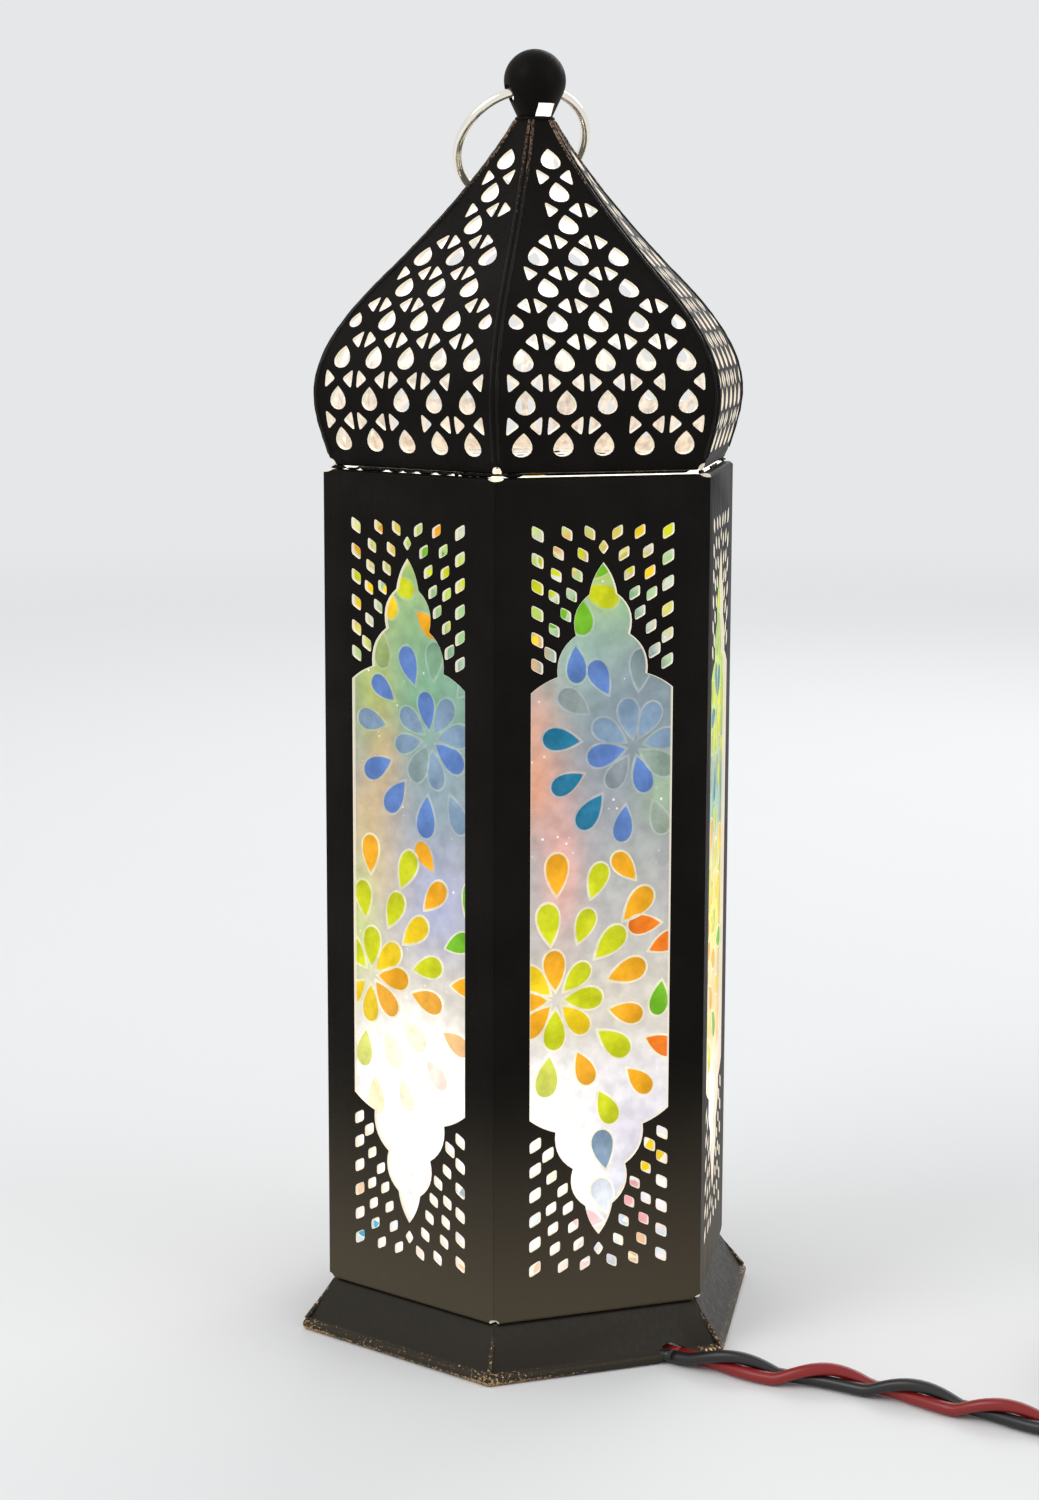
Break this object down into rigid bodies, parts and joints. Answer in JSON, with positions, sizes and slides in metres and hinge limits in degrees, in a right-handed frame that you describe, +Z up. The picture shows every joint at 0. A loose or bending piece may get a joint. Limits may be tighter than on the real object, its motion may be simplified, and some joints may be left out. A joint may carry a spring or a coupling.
{
  "type": "pierced metal table lantern",
  "caption": "Hexagonal table lantern of pierced dark metal with cusped glass windows, onion dome, hanging ring, flared foot, lamp, twisted cord and plug",
  "frame": {"origin": "middle of the foot, on the surface that the lantern stands on", "axes": "+Z up; a corner of the hexagon points along -Y, so two flats face +X and -X; the cord leaves towards +X and -Y"},
  "size_m": [0.2775, 0.16, 0.3],
  "materials": {
    "painted_iron": "dark brown-black paint, worn to bright metal at edges",
    "bright_steel": "bright polished wire",
    "plain_steel": "plain",
    "brass": "satin",
    "art_glass": "frosted, with coloured petals between raised lines",
    "bulb_glass": "opal",
    "holder_plastic": "moulded",
    "cord_plastic": "smooth insulation, one red and one black strand",
    "plug_plastic": "moulded"
  },
  "bodies": {
    "lantern_body": {"body_panel_1": "painted_iron", "body_panel_2": "painted_iron", "body_panel_3": "painted_iron", "body_panel_4": "painted_iron", "body_panel_5": "painted_iron", "body_panel_6": "painted_iron", "dome_gore_1": "painted_iron", "dome_gore_2": "painted_iron", "dome_gore_3": "painted_iron", "dome_gore_4": "painted_iron", "dome_gore_5": "painted_iron", "dome_gore_6": "painted_iron", "foot_panel_1": "painted_iron", "foot_panel_2": "painted_iron", "foot_panel_3": "painted_iron", "foot_panel_4": "painted_iron", "foot_panel_5": "painted_iron", "foot_panel_6": "painted_iron", "finial": "painted_iron", "apex_collar": "plain_steel", "glass_pane_1": "art_glass", "glass_pane_2": "art_glass", "glass_pane_3": "art_glass", "glass_pane_4": "art_glass", "glass_pane_5": "art_glass", "glass_pane_6": "art_glass", "lamp_bridge": "plain_steel", "bridge_screw_1": "plain_steel", "bridge_screw_2": "plain_steel", "bridge_nut_1": "plain_steel", "bridge_nut_2": "plain_steel", "holder_nipple": "plain_steel", "holder_nut": "plain_steel", "lamp_holder": "holder_plastic", "holder_ring": "holder_plastic", "holder_contact": "brass", "bulb_cap": "brass", "bulb_glass": "bulb_glass", "inner_lead": "cord_plastic", "cord_free": "cord_plastic", "cord_coil": "cord_plastic", "cord_tail": "cord_plastic", "cord_tie": "plug_plastic", "plug_body": "plug_plastic", "plug_pin_1": "brass", "plug_pin_2": "brass"},
    "ring": {"hanging_ring": "bright_steel"}
  },
  "joints": [
    {"name": "ring_swing", "type": "hinge", "parent": "lantern_body", "child": "ring", "pos_m": [0, 0, 0.29], "axis": [0.866, 0.5, 0], "range_deg": [0, 284]}
  ]
}
